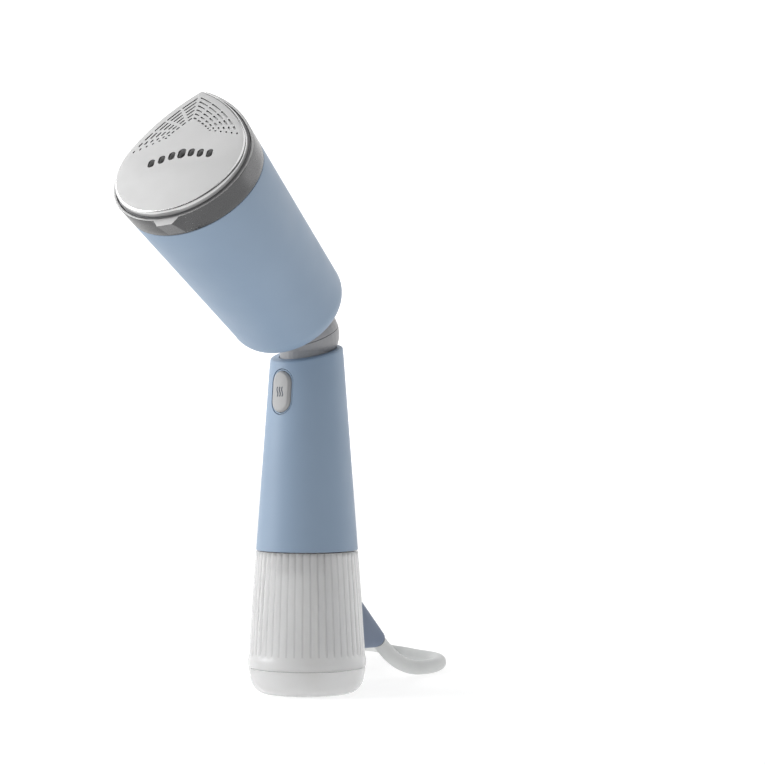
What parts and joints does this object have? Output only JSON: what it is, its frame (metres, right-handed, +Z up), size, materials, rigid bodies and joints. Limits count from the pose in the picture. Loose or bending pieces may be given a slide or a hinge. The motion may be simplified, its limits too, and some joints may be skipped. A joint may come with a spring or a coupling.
{
  "type": "handheld garment steamer",
  "caption": "Handheld garment steamer: blue head on a leaning swivel, tapered handle with a steam button, frosted fluted water tank as its foot, steel soleplate and a mains cord in a hank.",
  "frame": {"origin": "centre of the flat foot of the water tank, on the surface that it stands on", "axes": "+Z up along the handle, -Y the front with the steam button, +Y the rear where the cord leaves, +X to the right seen from the front"},
  "size_m": [0.222, 0.3433, 0.323],
  "materials": {
    "blue_plastic": "soft matte, light steel blue",
    "grey_plastic": "satin taupe grey",
    "black_plastic": "matt black",
    "satin_steel": "satin",
    "zinc_steel": "bright zinc",
    "cast_aluminium": "as cast",
    "brass": "plain",
    "silicone": "translucent off-white",
    "frosted_plastic": "frosted, see-through",
    "cord_grey": "light grey sheath",
    "board_green": "solder mask"
  },
  "bodies": {
    "handle": {"handle_shell": "blue_plastic", "rear_spine": "blue_plastic", "cord_strain_relief": "blue_plastic", "neck_lower": "grey_plastic", "button_seal": "black_plastic", "microswitch": "black_plastic", "inner_frame": "black_plastic", "board_relay": "black_plastic", "water_pump": "black_plastic", "swivel_bush": "black_plastic", "tank_dock": "black_plastic", "dock_o_ring": "black_plastic", "inlet_filter": "black_plastic", "cord_tie": "black_plastic", "friction_washer": "zinc_steel", "pump_yoke": "zinc_steel", "dock_screw_1": "zinc_steel", "dock_screw_2": "zinc_steel", "neck_base_screw_1": "zinc_steel", "neck_base_screw_2": "zinc_steel", "rotary_coupling": "brass", "plug_pin_1": "brass", "plug_pin_2": "brass", "pump_coil": "brass", "lower_water_hose": "silicone", "suction_hose": "silicone", "pickup_tube": "silicone", "power_cord": "cord_grey", "cord_hank": "cord_grey", "cord_plug_lead": "cord_grey", "plug_body": "cord_grey", "control_board": "board_green"},
    "head": {"neck_upper": "grey_plastic", "swivel_axle": "zinc_steel", "retaining_clip": "zinc_steel", "head_shell": "blue_plastic", "trim_ring": "satin_steel", "insulator_ring": "black_plastic", "soleplate": "satin_steel", "steam_chamber": "cast_aluminium", "chamber_gasket": "silicone", "chamber_cover": "cast_aluminium", "heating_element": "zinc_steel", "thermostat": "cast_aluminium", "thermal_fuse": "zinc_steel", "inlet_nozzle": "brass", "upper_water_hose": "silicone", "heater_lead_1": "silicone", "heater_lead_2": "silicone", "cover_screw_1": "zinc_steel", "cover_screw_2": "zinc_steel", "cover_screw_3": "zinc_steel", "neck_screw_1": "zinc_steel", "neck_screw_2": "zinc_steel", "neck_screw_3": "zinc_steel"},
    "button": {"steam_button": "grey_plastic", "switch_plunger": "brass"},
    "tank": {"water_tank": "frosted_plastic", "tank_base": "frosted_plastic"}
  },
  "joints": [
    {"name": "head_swivel", "type": "hinge", "parent": "handle", "child": "head", "pos_m": [0, 0, 0.197], "axis": [0, -0.4067, 0.9135], "range_deg": [-18.6, 161.4]},
    {"name": "button_press", "type": "slide", "parent": "handle", "child": "button", "axis": [0, 1, 0], "range_m": [0, 0.0015], "stiffness_N_per_m": 800, "springref_m": -0.001},
    {"name": "tank_release", "type": "slide", "parent": "handle", "child": "tank", "axis": [0, 0, -1], "range_m": [0, 0.095]}
  ]
}
